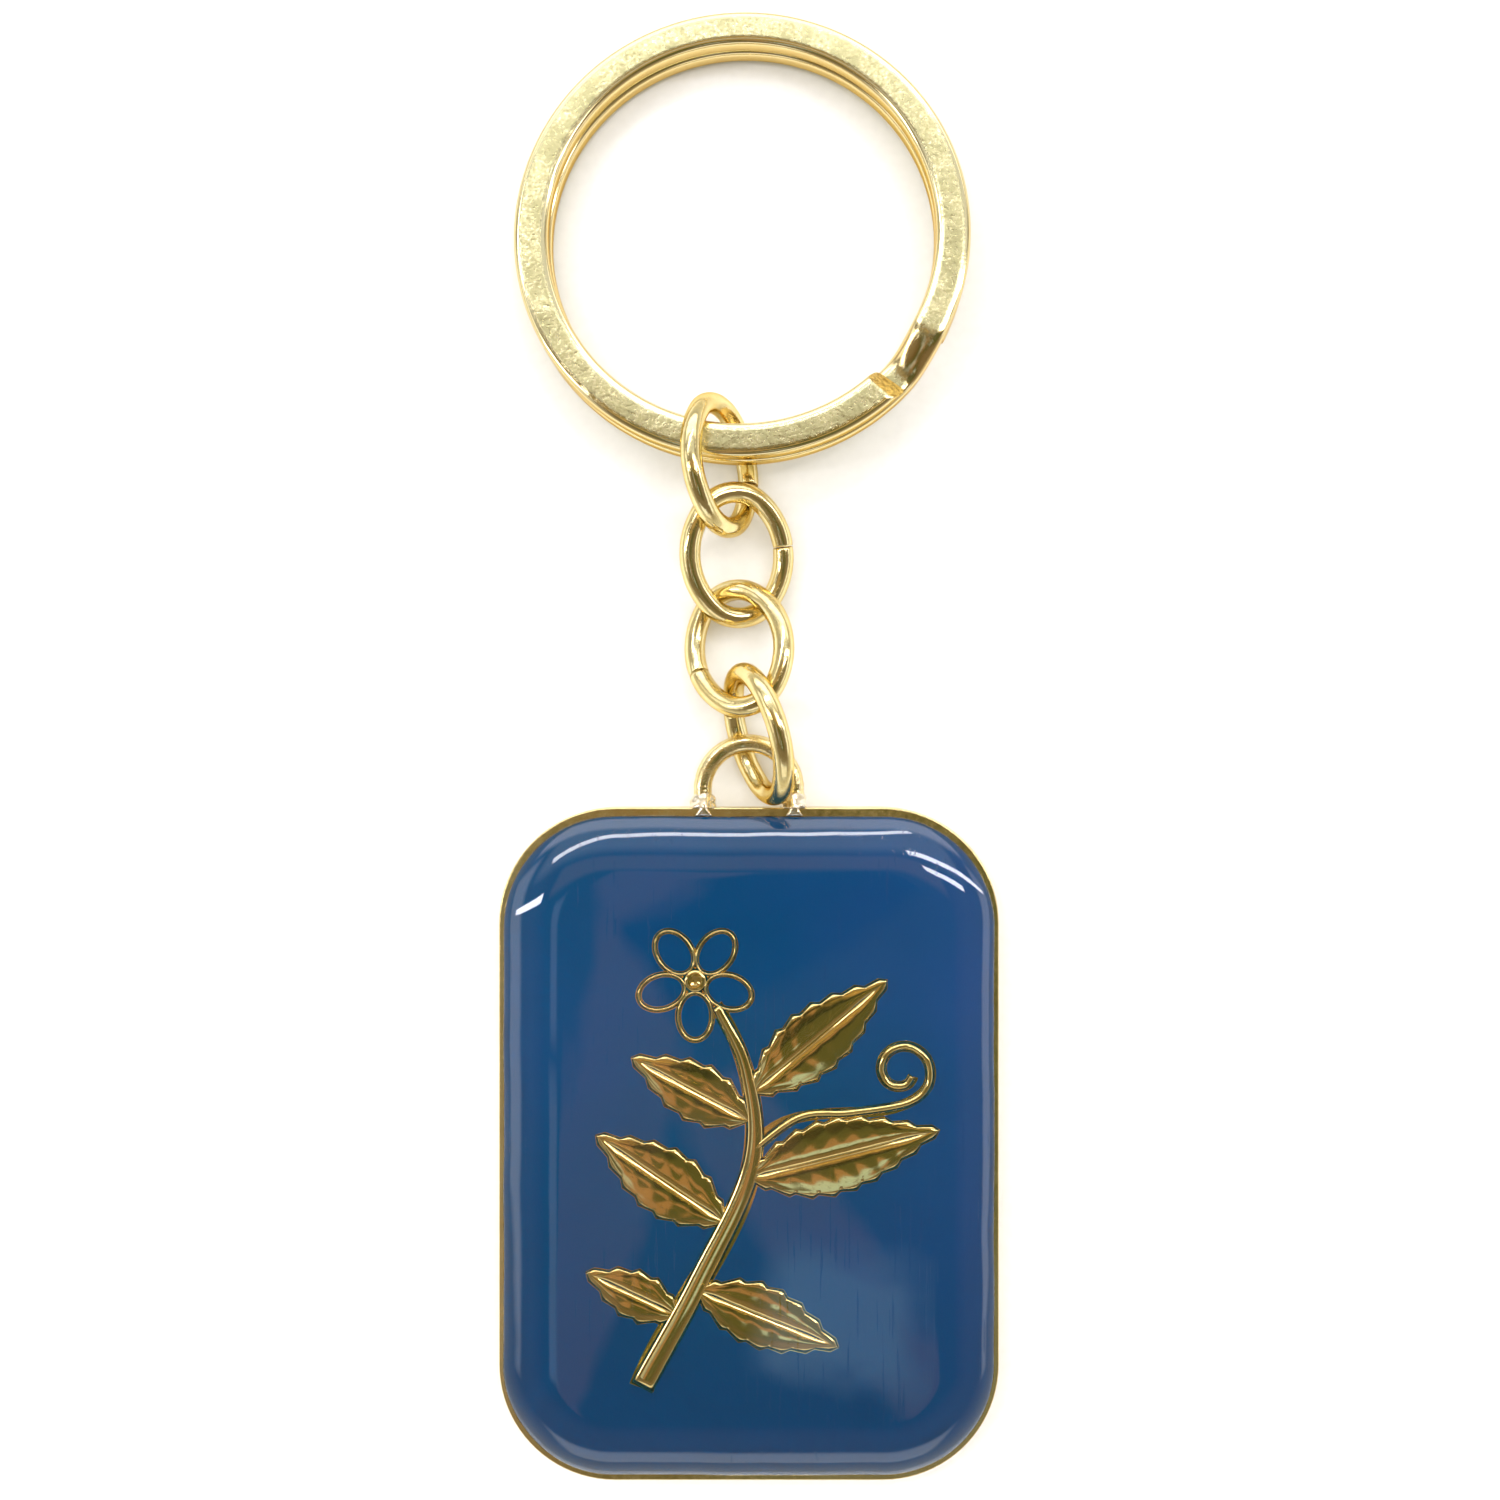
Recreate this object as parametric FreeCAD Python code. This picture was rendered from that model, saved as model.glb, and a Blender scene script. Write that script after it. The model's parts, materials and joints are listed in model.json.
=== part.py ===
import FreeCAD, Part
import math
import os

from FreeCAD import Placement, Rotation, Vector

# Souvenir keychain: an enamelled metal tag, four oval wire links and a flat split ring.
# Millimetres, +Z up. The origin is the centre of the tag's back face, which lies on the
# resting surface. +Y points from the tag towards the split ring, and the motif faces +Z.

# Tag plate: a tray with a thin raised rim
TAG_WIDTH = 33.6
TAG_HEIGHT = 45.2
TAG_CORNER = 7.8
PLATE_THICKNESS = 2.6
RIM_SIDE = 0.4
RIM_TOP = 0.65
RIM_BOTTOM = 0.45
TRAY_DEPTH = 0.8
BACK_EDGE_ROUND = 0.4
RIM_EDGE_ROUND = 0.12

# Enamel, motif and resin
ENAMEL_BELOW_RIM = 0.1
DOME_THICKNESS = 1.35
DOME_EDGE_ROUND = 1.2

# Wire arch that hangs the tag, and the solder at its two feet
ARCH_WIRE = 1.1
ARCH_HALF_WIDTH = 3.6
ARCH_HEIGHT = 4.8
SOLDER_HEIGHT = 1.0
SOLDER_FOOT_RADIUS = 0.95
SOLDER_NECK_RADIUS = 0.62
SOLDER_PAD_THICKNESS = 0.22
SOLDER_PAD_WIDTH = 1.1
SOLDER_PAD_HEEL = 0.75
SOLDER_PAD_SETBACK = 0.1

# Oval links of round wire, each closed by a butt joint
LINK_WIRE = 1.4
LINK_LENGTH = 9.78
LINK_WIDTH = 7.98
LINK_END_RADIUS = 2.69
JOINT_GAP = 0.08

# How each link lies: centre, then yaw about Z, pitch about X and roll about Y, in degrees,
# then the side of its butt joint (-1 left, +1 right) and the joint's place along the link.
# Links 1 and 4 stand nearly on edge, because the ring and the arch pass through them.
LINK_POSES = [
    ((-1.91, 45.40, 3.49), (4.1, -5.4, 56.7), (1, -0.9)),
    ((-0.79, 39.52, 2.60), (5.2, 10.3, 17.3), (1, 0.3)),
    ((-0.70, 33.30, 2.94), (15.9, -20.4, -21.9), (-1, -0.6)),
    ((0.60, 27.49, 3.76), (12.6, 9.9, -66.4), (-1, 1.5)),
]

# Split ring: two turns of flat wire
RING_OUTER = 30.5
RING_BAND = 2.3
RING_TURN = 1.17
RING_SLIT = 0.06
RING_EDGE_ROUND = 0.36
RING_CENTRE = (-0.49, 60.91, 2.33)
RING_PITCH = -3.85
RING_ROLL = -1.75
RAMP_START = -46.0
RAMP_END = -28.0
RAMP_STEPS = 6
WIRE_END_GAP = 1.5

# Motif: a sprig with toothed leaves, an openwork blossom and a tendril.
# The stem is one smooth line, given with the width of the stem at each point.
STEM = [
    ((-7.2, -16.2), 1.7),
    ((-3.3, -9.0), 1.6),
    ((0.2, -1.2), 1.4),
    ((-0.2, 5.0), 1.1),
    ((-2.2, 9.4), 0.9),
]
# Leaves: base point, direction in degrees, length, width, number of teeth along a side
LEAVES = [
    ((-4.6, -11.4), 155.0, 7.0, 3.1, 5),
    ((-3.6, -9.6), -22.0, 10.4, 4.0, 7),
    ((-1.5, -5.2), 146.0, 10.6, 4.3, 7),
    ((-0.2, -2.2), 14.0, 13.4, 4.8, 9),
    ((0.2, 1.6), 152.0, 9.2, 3.7, 6),
    ((0.1, 3.4), 40.0, 12.0, 4.2, 8),
]
LEAF_TOOTH = 0.28
LEAF_TEETH_LEAN = 0.7
LEAF_FULLNESS = 0.85
BLOSSOM_CENTRE = (-3.6, 11.0)
BLOSSOM_PETALS = 5
BLOSSOM_REACH = 2.35
BLOSSOM_TURN = 54.0
PETAL_LENGTH = 3.6
PETAL_WIDTH = 2.7
PETAL_FRAME = 0.42
BLOSSOM_EYE = 0.95
TENDRIL_RUN = [(0.1, -0.4), (3.4, 1.9), (6.8, 2.2)]
TENDRIL_CENTRE = (10.2, 5.0)
TENDRIL_RADIUS = 2.2
TENDRIL_TURNS = 1.15
TENDRIL_FIRST_ANGLE = -80.0
TENDRIL_SHRINK = 0.62
TENDRIL_STEPS = 9
TENDRIL_WIDTH = 0.75

# Heights that follow from the sizes above
TRAY_FLOOR = PLATE_THICKNESS - TRAY_DEPTH
ENAMEL_TOP = PLATE_THICKNESS - ENAMEL_BELOW_RIM
TAG_TOP = TAG_HEIGHT / 2
ARCH_RADIUS = ARCH_HALF_WIDTH - ARCH_WIRE / 2
ARCH_LEG = ARCH_HEIGHT - ARCH_HALF_WIDTH
ARCH_Z = PLATE_THICKNESS - ARCH_WIRE / 2

UP = Vector(0, 0, 1)
FORWARD = Vector(0, 1, 0)
SAME_HEIGHT = 1e-4


def rounded_rectangle(left, right, bottom, top, corner, z):
    """Face of a rectangle with round corners, in the plane at height z."""
    centres = [
        (right - corner, top - corner, 0.0),
        (left + corner, top - corner, 90.0),
        (left + corner, bottom + corner, 180.0),
        (right - corner, bottom + corner, 270.0),
    ]
    arcs = []
    for x, y, start in centres:
        circle = Part.Circle(Vector(x, y, z), UP, corner)
        arcs.append(circle.toShape(math.radians(start), math.radians(start + 90.0)))
    edges = []
    for index, arc in enumerate(arcs):
        following = arcs[(index + 1) % len(arcs)]
        edges.append(arc)
        edges.append(Part.makeLine(arc.Vertexes[-1].Point, following.Vertexes[0].Point))
    return Part.Face(Part.Wire(edges))


def tag_outline(z):
    """Outer outline of the tag."""
    half_width = TAG_WIDTH / 2
    return rounded_rectangle(-half_width, half_width, -TAG_TOP, TAG_TOP, TAG_CORNER, z)


def tray_outline(z):
    """Outline of the tray inside the rim, which is widest at the top."""
    half_width = TAG_WIDTH / 2 - RIM_SIDE
    corner = TAG_CORNER - RIM_SIDE
    return rounded_rectangle(-half_width, half_width, RIM_BOTTOM - TAG_TOP, TAG_TOP - RIM_TOP, corner, z)


def edges_at_height(solid, z):
    """Edges of a solid that lie wholly at height z."""
    found = []
    for edge in solid.Edges:
        box = edge.BoundBox
        if abs(box.ZMin - z) < SAME_HEIGHT and abs(box.ZMax - z) < SAME_HEIGHT:
            found.append(edge)
    return found


def make_plate():
    """Tray with a rounded back edge and a slightly softened rim."""
    blank = tag_outline(0).extrude(UP * PLATE_THICKNESS)
    blank = blank.makeFillet(BACK_EDGE_ROUND, edges_at_height(blank, 0))
    blank = blank.makeFillet(RIM_EDGE_ROUND, edges_at_height(blank, PLATE_THICKNESS))
    return blank.cut(tray_outline(TRAY_FLOOR).extrude(UP * (TRAY_DEPTH + 1)))


def flat_point(point, z=0.0):
    """A point of the motif as a vector at height z."""
    return Vector(point[0], point[1], z)


def band_face(points, widths, z):
    """Flat strip along a smooth line, with its own width at each point."""
    middle = Part.BSplineCurve()
    middle.interpolate([flat_point(point, z) for point in points])
    left = []
    right = []
    for point, width in zip(points, widths):
        parameter = middle.parameter(flat_point(point, z))
        along = middle.tangent(parameter)[0]
        across = Vector(-along.y, along.x, 0) * (width / 2)
        left.append(flat_point(point, z) + across)
        right.append(flat_point(point, z) - across)
    left_edge = Part.BSplineCurve()
    left_edge.interpolate(left)
    right_edge = Part.BSplineCurve()
    right_edge.interpolate(right[::-1])
    edges = [
        left_edge.toShape(),
        Part.makeLine(left[-1], right[-1]),
        right_edge.toShape(),
        Part.makeLine(right[0], left[0]),
    ]
    return Part.Face(Part.Wire(edges))


def leaf_face(base, direction, length, width, teeth, z):
    """Pointed leaf with forward-leaning teeth on both sides."""
    def half_width(t):
        return width / 2 * math.sin(math.pi * t ** LEAF_FULLNESS)

    upper = []
    for tooth in range(teeth):
        notch = tooth / teeth
        tip = (tooth + LEAF_TEETH_LEAN) / teeth
        upper.append((notch * length, half_width(notch)))
        upper.append((tip * length, half_width(tip) + LEAF_TOOTH))
    outline = upper + [(length, 0.0)] + [(x, -y) for x, y in upper[:0:-1]]
    corners = [Vector(x, y, z) for x, y in outline]
    face = Part.Face(Part.makePolygon(corners + [corners[0]]))
    face.rotate(Vector(0, 0, z), UP, direction)
    face.translate(flat_point(base))
    return face


def ellipse_face(length, width, z):
    """Ellipse about the origin, long along X."""
    ellipse = Part.Ellipse(Vector(0, 0, z), length / 2, width / 2)
    return Part.Face(Part.Wire(ellipse.toShape()))


def blossom_faces(z):
    """Ring-shaped petals round a solid eye."""
    faces = []
    for petal in range(BLOSSOM_PETALS):
        outer = ellipse_face(PETAL_LENGTH, PETAL_WIDTH, z)
        inner = ellipse_face(PETAL_LENGTH - 2 * PETAL_FRAME, PETAL_WIDTH - 2 * PETAL_FRAME, z)
        frame = outer.cut(inner)
        frame.translate(Vector(BLOSSOM_REACH, 0, 0))
        frame.rotate(Vector(0, 0, 0), UP, BLOSSOM_TURN + petal * 360.0 / BLOSSOM_PETALS)
        frame.translate(flat_point(BLOSSOM_CENTRE))
        faces.append(frame)
    eye = Part.Circle(flat_point(BLOSSOM_CENTRE, z), UP, BLOSSOM_EYE)
    faces.append(Part.Face(Part.Wire(eye.toShape())))
    return faces


def tendril_points():
    """Line of the tendril: out from the stem, then a shrinking curl."""
    points = list(TENDRIL_RUN)
    for step in range(TENDRIL_STEPS):
        share = step / (TENDRIL_STEPS - 1)
        angle = math.radians(TENDRIL_FIRST_ANGLE + share * TENDRIL_TURNS * 360.0)
        radius = TENDRIL_RADIUS * (1.0 - TENDRIL_SHRINK * share)
        x = TENDRIL_CENTRE[0] + radius * math.cos(angle)
        y = TENDRIL_CENTRE[1] + radius * math.sin(angle)
        points.append((x, y))
    return points


def make_emblem():
    """The sprig as one solid that stands on the tray floor, level with the enamel."""
    z = TRAY_FLOOR
    height = ENAMEL_TOP - TRAY_FLOOR
    faces = [band_face([point for point, width in STEM], [width for point, width in STEM], z)]
    for base, direction, length, width, teeth in LEAVES:
        faces.append(leaf_face(base, direction, length, width, teeth, z))
    faces.extend(blossom_faces(z))
    tendril = tendril_points()
    faces.append(band_face(tendril, [TENDRIL_WIDTH] * len(tendril), z))
    solids = [face.extrude(UP * height) for face in faces]
    return solids[0].fuse(solids[1:]).removeSplitter()


def make_enamel(emblem):
    """Enamel that fills the tray round the sprig."""
    fill = tray_outline(TRAY_FLOOR).extrude(UP * (ENAMEL_TOP - TRAY_FLOOR))
    return fill.cut(emblem)


def make_dome():
    """Clear resin, flat in the middle and rounded off at its edge."""
    dome = tray_outline(ENAMEL_TOP).extrude(UP * DOME_THICKNESS)
    return dome.makeFillet(DOME_EDGE_ROUND, edges_at_height(dome, ENAMEL_TOP + DOME_THICKNESS))


def make_arch():
    """Half ring of wire on two short legs that end on the tag's top edge."""
    def leg(x):
        return Part.makeCylinder(ARCH_WIRE / 2, ARCH_LEG, Vector(x, TAG_TOP, ARCH_Z), FORWARD)

    centre = Vector(0, TAG_TOP + ARCH_LEG, ARCH_Z)
    section = Part.makeCircle(ARCH_WIRE / 2, centre + Vector(ARCH_RADIUS, 0, 0), FORWARD)
    bow = Part.Face(Part.Wire(section)).revolve(centre, UP, 180.0)
    return bow.fuse([leg(ARCH_RADIUS), leg(-ARCH_RADIUS)]).removeSplitter()


def make_solder(x, arch, plate):
    """Cone of solder round one foot, with a pad that laps over the rim."""
    foot = Vector(x, TAG_TOP, ARCH_Z)
    cone = Part.makeCone(SOLDER_FOOT_RADIUS, SOLDER_NECK_RADIUS, SOLDER_HEIGHT, foot, FORWARD)
    heel = SOLDER_PAD_HEEL / 2
    toe = SOLDER_PAD_WIDTH / 2
    low = TAG_TOP - RIM_TOP + SOLDER_PAD_SETBACK
    corners = [
        Vector(x - heel, TAG_TOP, PLATE_THICKNESS),
        Vector(x + heel, TAG_TOP, PLATE_THICKNESS),
        Vector(x + toe, low, PLATE_THICKNESS),
        Vector(x - toe, low, PLATE_THICKNESS),
    ]
    pad = Part.Face(Part.makePolygon(corners + [corners[0]])).extrude(UP * SOLDER_PAD_THICKNESS)
    return cone.fuse(pad).cut(arch).cut(plate).removeSplitter()


def make_link():
    """Flat oval of round wire, long along Y, from four tangent arcs."""
    half_width = (LINK_WIDTH - LINK_WIRE) / 2
    half_length = (LINK_LENGTH - LINK_WIRE) / 2
    end_y = half_length - LINK_END_RADIUS
    across = half_width - LINK_END_RADIUS
    side_radius = (half_width ** 2 + end_y ** 2 - LINK_END_RADIUS ** 2) / (2 * across)
    side_x = side_radius - half_width
    side_half_angle = math.degrees(math.atan2(end_y, side_x))

    def bend(x, y, radius, middle, half_angle):
        """Wire bent round (x, y), from half_angle before the middle direction to half_angle after."""
        disc = Part.Face(Part.Wire(Part.makeCircle(LINK_WIRE / 2, Vector(x + radius, y, 0), FORWARD)))
        disc.rotate(Vector(x, y, 0), UP, middle - half_angle)
        return disc.revolve(Vector(x, y, 0), UP, 2 * half_angle)

    bends = [
        bend(-side_x, 0, side_radius, 0, side_half_angle),
        bend(0, end_y, LINK_END_RADIUS, 90, 90 - side_half_angle),
        bend(side_x, 0, side_radius, 180, side_half_angle),
        bend(0, -end_y, LINK_END_RADIUS, 270, 90 - side_half_angle),
    ]
    return bends[0].fuse(bends[1:]).removeSplitter()


def turned(yaw, pitch, roll):
    """Rotation that rolls about Y, then pitches about X, then yaws about Z."""
    about_z = Rotation(Vector(0, 0, 1), yaw)
    about_x = Rotation(Vector(1, 0, 0), pitch)
    about_y = Rotation(Vector(0, 1, 0), roll)
    return about_z * about_x * about_y


def place_link(link, centre, angles, joint):
    """A link with its butt joint cut, laid in its place in the chain."""
    side, along = joint
    slit_width = 2 * LINK_WIRE
    corner = Vector(side * LINK_WIDTH / 2 - slit_width / 2, along - JOINT_GAP / 2, -LINK_WIRE)
    closed = link.cut(Part.makeBox(slit_width, JOINT_GAP, 2 * LINK_WIRE, corner))
    closed.Placement = Placement(Vector(*centre), turned(*angles))
    return closed


def ring_section(low, angle):
    """Rounded flat-wire section whose lower face is at height low, at an angle round the ring."""
    inner = RING_OUTER / 2 - RING_BAND
    section = rounded_rectangle(inner, RING_OUTER / 2, low, low + RING_TURN, RING_EDGE_ROUND, 0)
    section.rotate(Vector(0, 0, 0), Vector(1, 0, 0), 90.0)
    section.rotate(Vector(0, 0, 0), UP, angle)
    return section


def ring_turn(low, start, end):
    """One level turn of the ring, from a start angle to an end angle."""
    return ring_section(low, start).revolve(Vector(0, 0, 0), UP, end - start)


def make_split_ring():
    """Upper turn, crossover ramp and lower turn of one flat wire."""
    upper = RING_SLIT / 2
    lower = -RING_TURN - RING_SLIT / 2
    sections = []
    for step in range(RAMP_STEPS + 1):
        share = step / RAMP_STEPS
        rise = share * share * (3.0 - 2.0 * share)
        angle = RAMP_START + share * (RAMP_END - RAMP_START)
        sections.append(ring_section(lower + rise * (upper - lower), angle).OuterWire)
    ramp = Part.makeLoft(sections, True, False)
    top_turn = ring_turn(upper, RAMP_END, RAMP_START + 360.0 - WIRE_END_GAP)
    bottom_turn = ring_turn(lower, RAMP_END - 360.0 + WIRE_END_GAP, RAMP_START)
    ring = top_turn.fuse([ramp, bottom_turn])
    ring.Placement = Placement(Vector(*RING_CENTRE), turned(0, RING_PITCH, RING_ROLL))
    return ring


def make_parts():
    """Every piece of the keychain, by name."""
    plate = make_plate()
    emblem = make_emblem()
    arch = make_arch()
    link = make_link()
    parts = {
        "tag_plate": plate,
        "enamel_fill": make_enamel(emblem),
        "emblem": emblem,
        "resin_dome": make_dome(),
        "hanging_loop": arch,
        "solder_left": make_solder(-ARCH_RADIUS, arch, plate),
        "solder_right": make_solder(ARCH_RADIUS, arch, plate),
        "split_ring": make_split_ring(),
    }
    for number, (centre, angles, joint) in enumerate(LINK_POSES, 1):
        parts["chain_link_%d" % number] = place_link(link, centre, angles, joint)
    return parts


def main():
    os.makedirs("parts", exist_ok=True)
    for name, shape in make_parts().items():
        shape.exportStep("parts/%s.step" % name)
        print(name, len(shape.Solids), "solids, volume", round(shape.Volume, 2), "valid", shape.isValid())


main()
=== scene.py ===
import json
import math

import bmesh
import bpy
import numpy as np
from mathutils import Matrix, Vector, noise


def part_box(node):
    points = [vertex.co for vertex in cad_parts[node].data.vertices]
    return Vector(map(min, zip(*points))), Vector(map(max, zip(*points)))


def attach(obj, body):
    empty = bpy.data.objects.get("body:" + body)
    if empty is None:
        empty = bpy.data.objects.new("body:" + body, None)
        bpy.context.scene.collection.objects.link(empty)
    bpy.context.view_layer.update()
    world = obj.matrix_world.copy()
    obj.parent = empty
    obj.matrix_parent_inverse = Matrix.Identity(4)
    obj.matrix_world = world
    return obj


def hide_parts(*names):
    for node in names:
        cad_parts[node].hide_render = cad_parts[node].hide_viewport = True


# Souvenir keychain: an enamelled tag under a resin dome, four wire links and a split ring.
# Metres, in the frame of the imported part. Places come from the frame's nodes and joints.

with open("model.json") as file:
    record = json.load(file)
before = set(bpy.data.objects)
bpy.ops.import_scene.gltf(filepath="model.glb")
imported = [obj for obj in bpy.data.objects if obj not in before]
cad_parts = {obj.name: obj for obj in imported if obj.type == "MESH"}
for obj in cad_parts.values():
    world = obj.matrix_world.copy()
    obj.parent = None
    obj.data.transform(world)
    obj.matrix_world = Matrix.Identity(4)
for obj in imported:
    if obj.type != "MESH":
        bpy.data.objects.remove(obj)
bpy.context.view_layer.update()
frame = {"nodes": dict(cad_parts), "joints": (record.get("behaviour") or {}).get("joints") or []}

MM = 0.001
FULL_TURN = 2 * math.pi

# Camera: straight above the middle of the chain, close enough for strong perspective
CAMERA_HEIGHT = 97.0 * MM
CAMERA_X = 0.07 * MM
CAMERA_Y = 26.46 * MM
CAMERA_SENSOR = 36.0
CAMERA_LENS = 33.744
CAMERA_NEAR = 5 * MM
CAMERA_FAR = 20.0

# Tag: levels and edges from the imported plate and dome
plate_low, plate_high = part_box("tag_plate")
PLATE_TOP = plate_high.z
TAG_TOP = plate_high.y
dome_low, dome_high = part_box("resin_dome")
ENAMEL_TOP = dome_low.z
RESIN_CORNER = 7.4 * MM
SUNK = 0.05 * MM  # how far relief and resin reach below the enamel's surface

# Links
LINK_END_RADIUS = 2.69 * MM
JOINT_GAP = 0.08 * MM
LINK_STEPS = 220
WIRE_SIDES = 28
# Each link's butt joint: which side it is on, and how far along it in millimetres
LINK_JOINTS = {1: (1, -0.9), 2: (1, 0.3), 3: (-1, -0.6), 4: (-1, 1.5)}
JOINT_PINCH = 0.05
JOINT_SLIP = 0.035 * MM
WIRE_DENT = 0.008 * MM
WIRE_DENT_SIZE = 1.6 * MM

# Split ring: two turns of flat wire
RING_OUTER_RADIUS = 15.25 * MM
RING_BAND = 2.3 * MM
RING_TURN = 1.17 * MM
RING_SLIT = 0.06 * MM
RING_EDGE_ROUND = 0.36 * MM
RING_CROWN = 0.015 * MM
RAMP_START = math.radians(-43.5)
RAMP_END = math.radians(-28.0)
WIRE_END_GAP = math.radians(0.5)
RAMP_CROWN = 0.28 * MM  # how far the bend rounds the top face on the ramp
END_LEAN = 1.2 * MM
END_SKEW = 0.35 * MM
COIL_DRIFT = 0.07 * MM
DRIFT_EASE = 6  # the lower turn drifts in over the first sixth of the wire
RING_STEPS = 720
CORNER_STEPS = 7
FACE_STEPS = 7

# Arch and solder
ARCH_WIRE = 1.1 * MM
ARCH_SWELL = 0.13 * MM
ARCH_LEG_STEPS = 36
ARCH_BOW_STEPS = 90
FILE_MARK = 0.10 * MM
FILED_HEIGHT = 3.0 * MM
BEAD_FOOT_RADIUS = 0.95 * MM
BEAD_NECK_RADIUS = 0.62 * MM
BEAD_LUMP = 0.24
BEAD_LUMP_SIZE = 0.50 * MM
TOE_NECK = 0.30 * MM
TOE_SPREAD = 0.27 * MM
TOE_BULGE = 0.13 * MM
TOE_EDGE = 0.03 * MM

# Resin dome
DOME_BAND = 4.2 * MM
DOME_CROWN = 0.08 * MM
DOME_SIDES = 480
DOME_BAND_RINGS = 26
DOME_FLAT_RINGS = 14
RESIN_OVER_RIM = 0.12 * MM
EDGE_WAVE = 0.07 * MM
EDGE_WAVE_SIZE = 3.2 * MM
SKIN_RIPPLE = 0.012 * MM
SKIN_RIPPLE_SIZE = 6.0 * MM


# ---------------------------------------------------------------- mesh helpers

def new_object(name, points, faces, smooth=True):
    """Mesh object from points and faces, with its normals facing out."""
    mesh = bpy.data.meshes.new(name)
    mesh.from_pydata([tuple(p) for p in points], [], [tuple(f) for f in faces])
    made = bmesh.new()
    made.from_mesh(mesh)
    bmesh.ops.recalc_face_normals(made, faces=made.faces)
    made.to_mesh(mesh)
    made.free()
    if smooth:
        mesh.shade_smooth()
    piece = bpy.data.objects.new(name, mesh)
    bpy.context.scene.collection.objects.link(piece)
    return piece


def set_attribute(piece, name, values):
    """A number at each vertex, for materials to read."""
    attribute = piece.data.attributes.new(name, "FLOAT", "POINT")
    attribute.data.foreach_set("value", np.asarray(values, np.float32))


def tube(name, rings, closed_path=False, cap_material=None):
    """Skin over a list of rings of points, all with the same number of points."""
    rings = np.asarray(rings)
    count, around = rings.shape[:2]
    points = rings.reshape(-1, 3)
    faces = []
    last = count if closed_path else count - 1
    for i in range(last):
        j = (i + 1) % count
        for k in range(around):
            n = (k + 1) % around
            faces.append((i * around + k, i * around + n, j * around + n, j * around + k))
    side_count = len(faces)
    if not closed_path:
        faces.append(tuple(range(around)))
        faces.append(tuple((count - 1) * around + k for k in range(around)))
    piece = new_object(name, points, faces)
    if cap_material and not closed_path:
        for index in (side_count, side_count + 1):
            piece.data.polygons[index].material_index = 1
            piece.data.polygons[index].use_smooth = False
    return piece


def wobble(point, size, seed):
    """Smooth noise in -1..1 at a point, with features of the given size."""
    p = Vector(point) / size + Vector((seed * 7.31, seed * 3.77, seed * 5.13))
    return noise.noise(p)


# ---------------------------------------------------------------- material helpers

def new_material(name):
    """Material with one Principled shader joined to its output."""
    material = bpy.data.materials.new(name)
    material.use_nodes = True
    nodes = material.node_tree.nodes
    nodes.clear()
    shader = nodes.new("ShaderNodeBsdfPrincipled")
    output = nodes.new("ShaderNodeOutputMaterial")
    material.node_tree.links.new(shader.outputs["BSDF"], output.inputs["Surface"])
    return material, shader


class Graph:
    """Short ways to add and join shader nodes."""

    def __init__(self, tree):
        self.tree = tree
        self.coordinates = None

    def link(self, source, target):
        self.tree.links.new(source, target)

    def node(self, kind, **settings):
        made = self.tree.nodes.new(kind)
        for key, value in settings.items():
            setattr(made, key, value)
        return made

    def object_place(self):
        if self.coordinates is None:
            self.coordinates = self.node("ShaderNodeTexCoord").outputs["Object"]
        return self.coordinates

    def noise(self, scale, detail=2.0, roughness=0.5, vector=None, distortion=0.0):
        made = self.node("ShaderNodeTexNoise")
        made.inputs["Scale"].default_value = scale
        made.inputs["Detail"].default_value = detail
        made.inputs["Roughness"].default_value = roughness
        made.inputs["Distortion"].default_value = distortion
        self.link(vector or self.object_place(), made.inputs["Vector"])
        return made.outputs["Fac"]

    def spread(self, value, low, high, new_low, new_high):
        """Value mapped from one range to another, clamped."""
        made = self.node("ShaderNodeMapRange")
        made.inputs["From Min"].default_value = low
        made.inputs["From Max"].default_value = high
        made.inputs["To Min"].default_value = new_low
        made.inputs["To Max"].default_value = new_high
        self.link(value, made.inputs["Value"])
        return made.outputs["Result"]

    def math(self, operation, first, second):
        made = self.node("ShaderNodeMath", operation=operation)
        for index, value in enumerate((first, second)):
            if isinstance(value, (int, float)):
                made.inputs[index].default_value = value
            else:
                self.link(value, made.inputs[index])
        return made.outputs["Value"]

    def mix(self, factor, first, second):
        """Colour between two colours or colour sockets."""
        made = self.node("ShaderNodeMix", data_type="RGBA")
        if isinstance(factor, (int, float)):
            made.inputs["Factor"].default_value = factor
        else:
            self.link(factor, made.inputs["Factor"])
        for socket, value in ((made.inputs[6], first), (made.inputs[7], second)):
            if isinstance(value, tuple):
                socket.default_value = (*value, 1.0)
            else:
                self.link(value, socket)
        return made.outputs[2]

    def bump(self, height, strength, distance, normal=None):
        made = self.node("ShaderNodeBump")
        made.inputs["Strength"].default_value = strength
        made.inputs["Distance"].default_value = distance
        self.link(height, made.inputs["Height"])
        if normal is not None:
            self.link(normal, made.inputs["Normal"])
        return made.outputs["Normal"]

    def attribute(self, name):
        return self.node("ShaderNodeAttribute", attribute_name=name).outputs["Fac"]


# ---------------------------------------------------------------- materials

# How gold looks at a grazing angle, where a plain metal would turn white
GOLD_EDGE_TINT = (0.74, 0.56, 0.26, 1.0)


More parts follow.
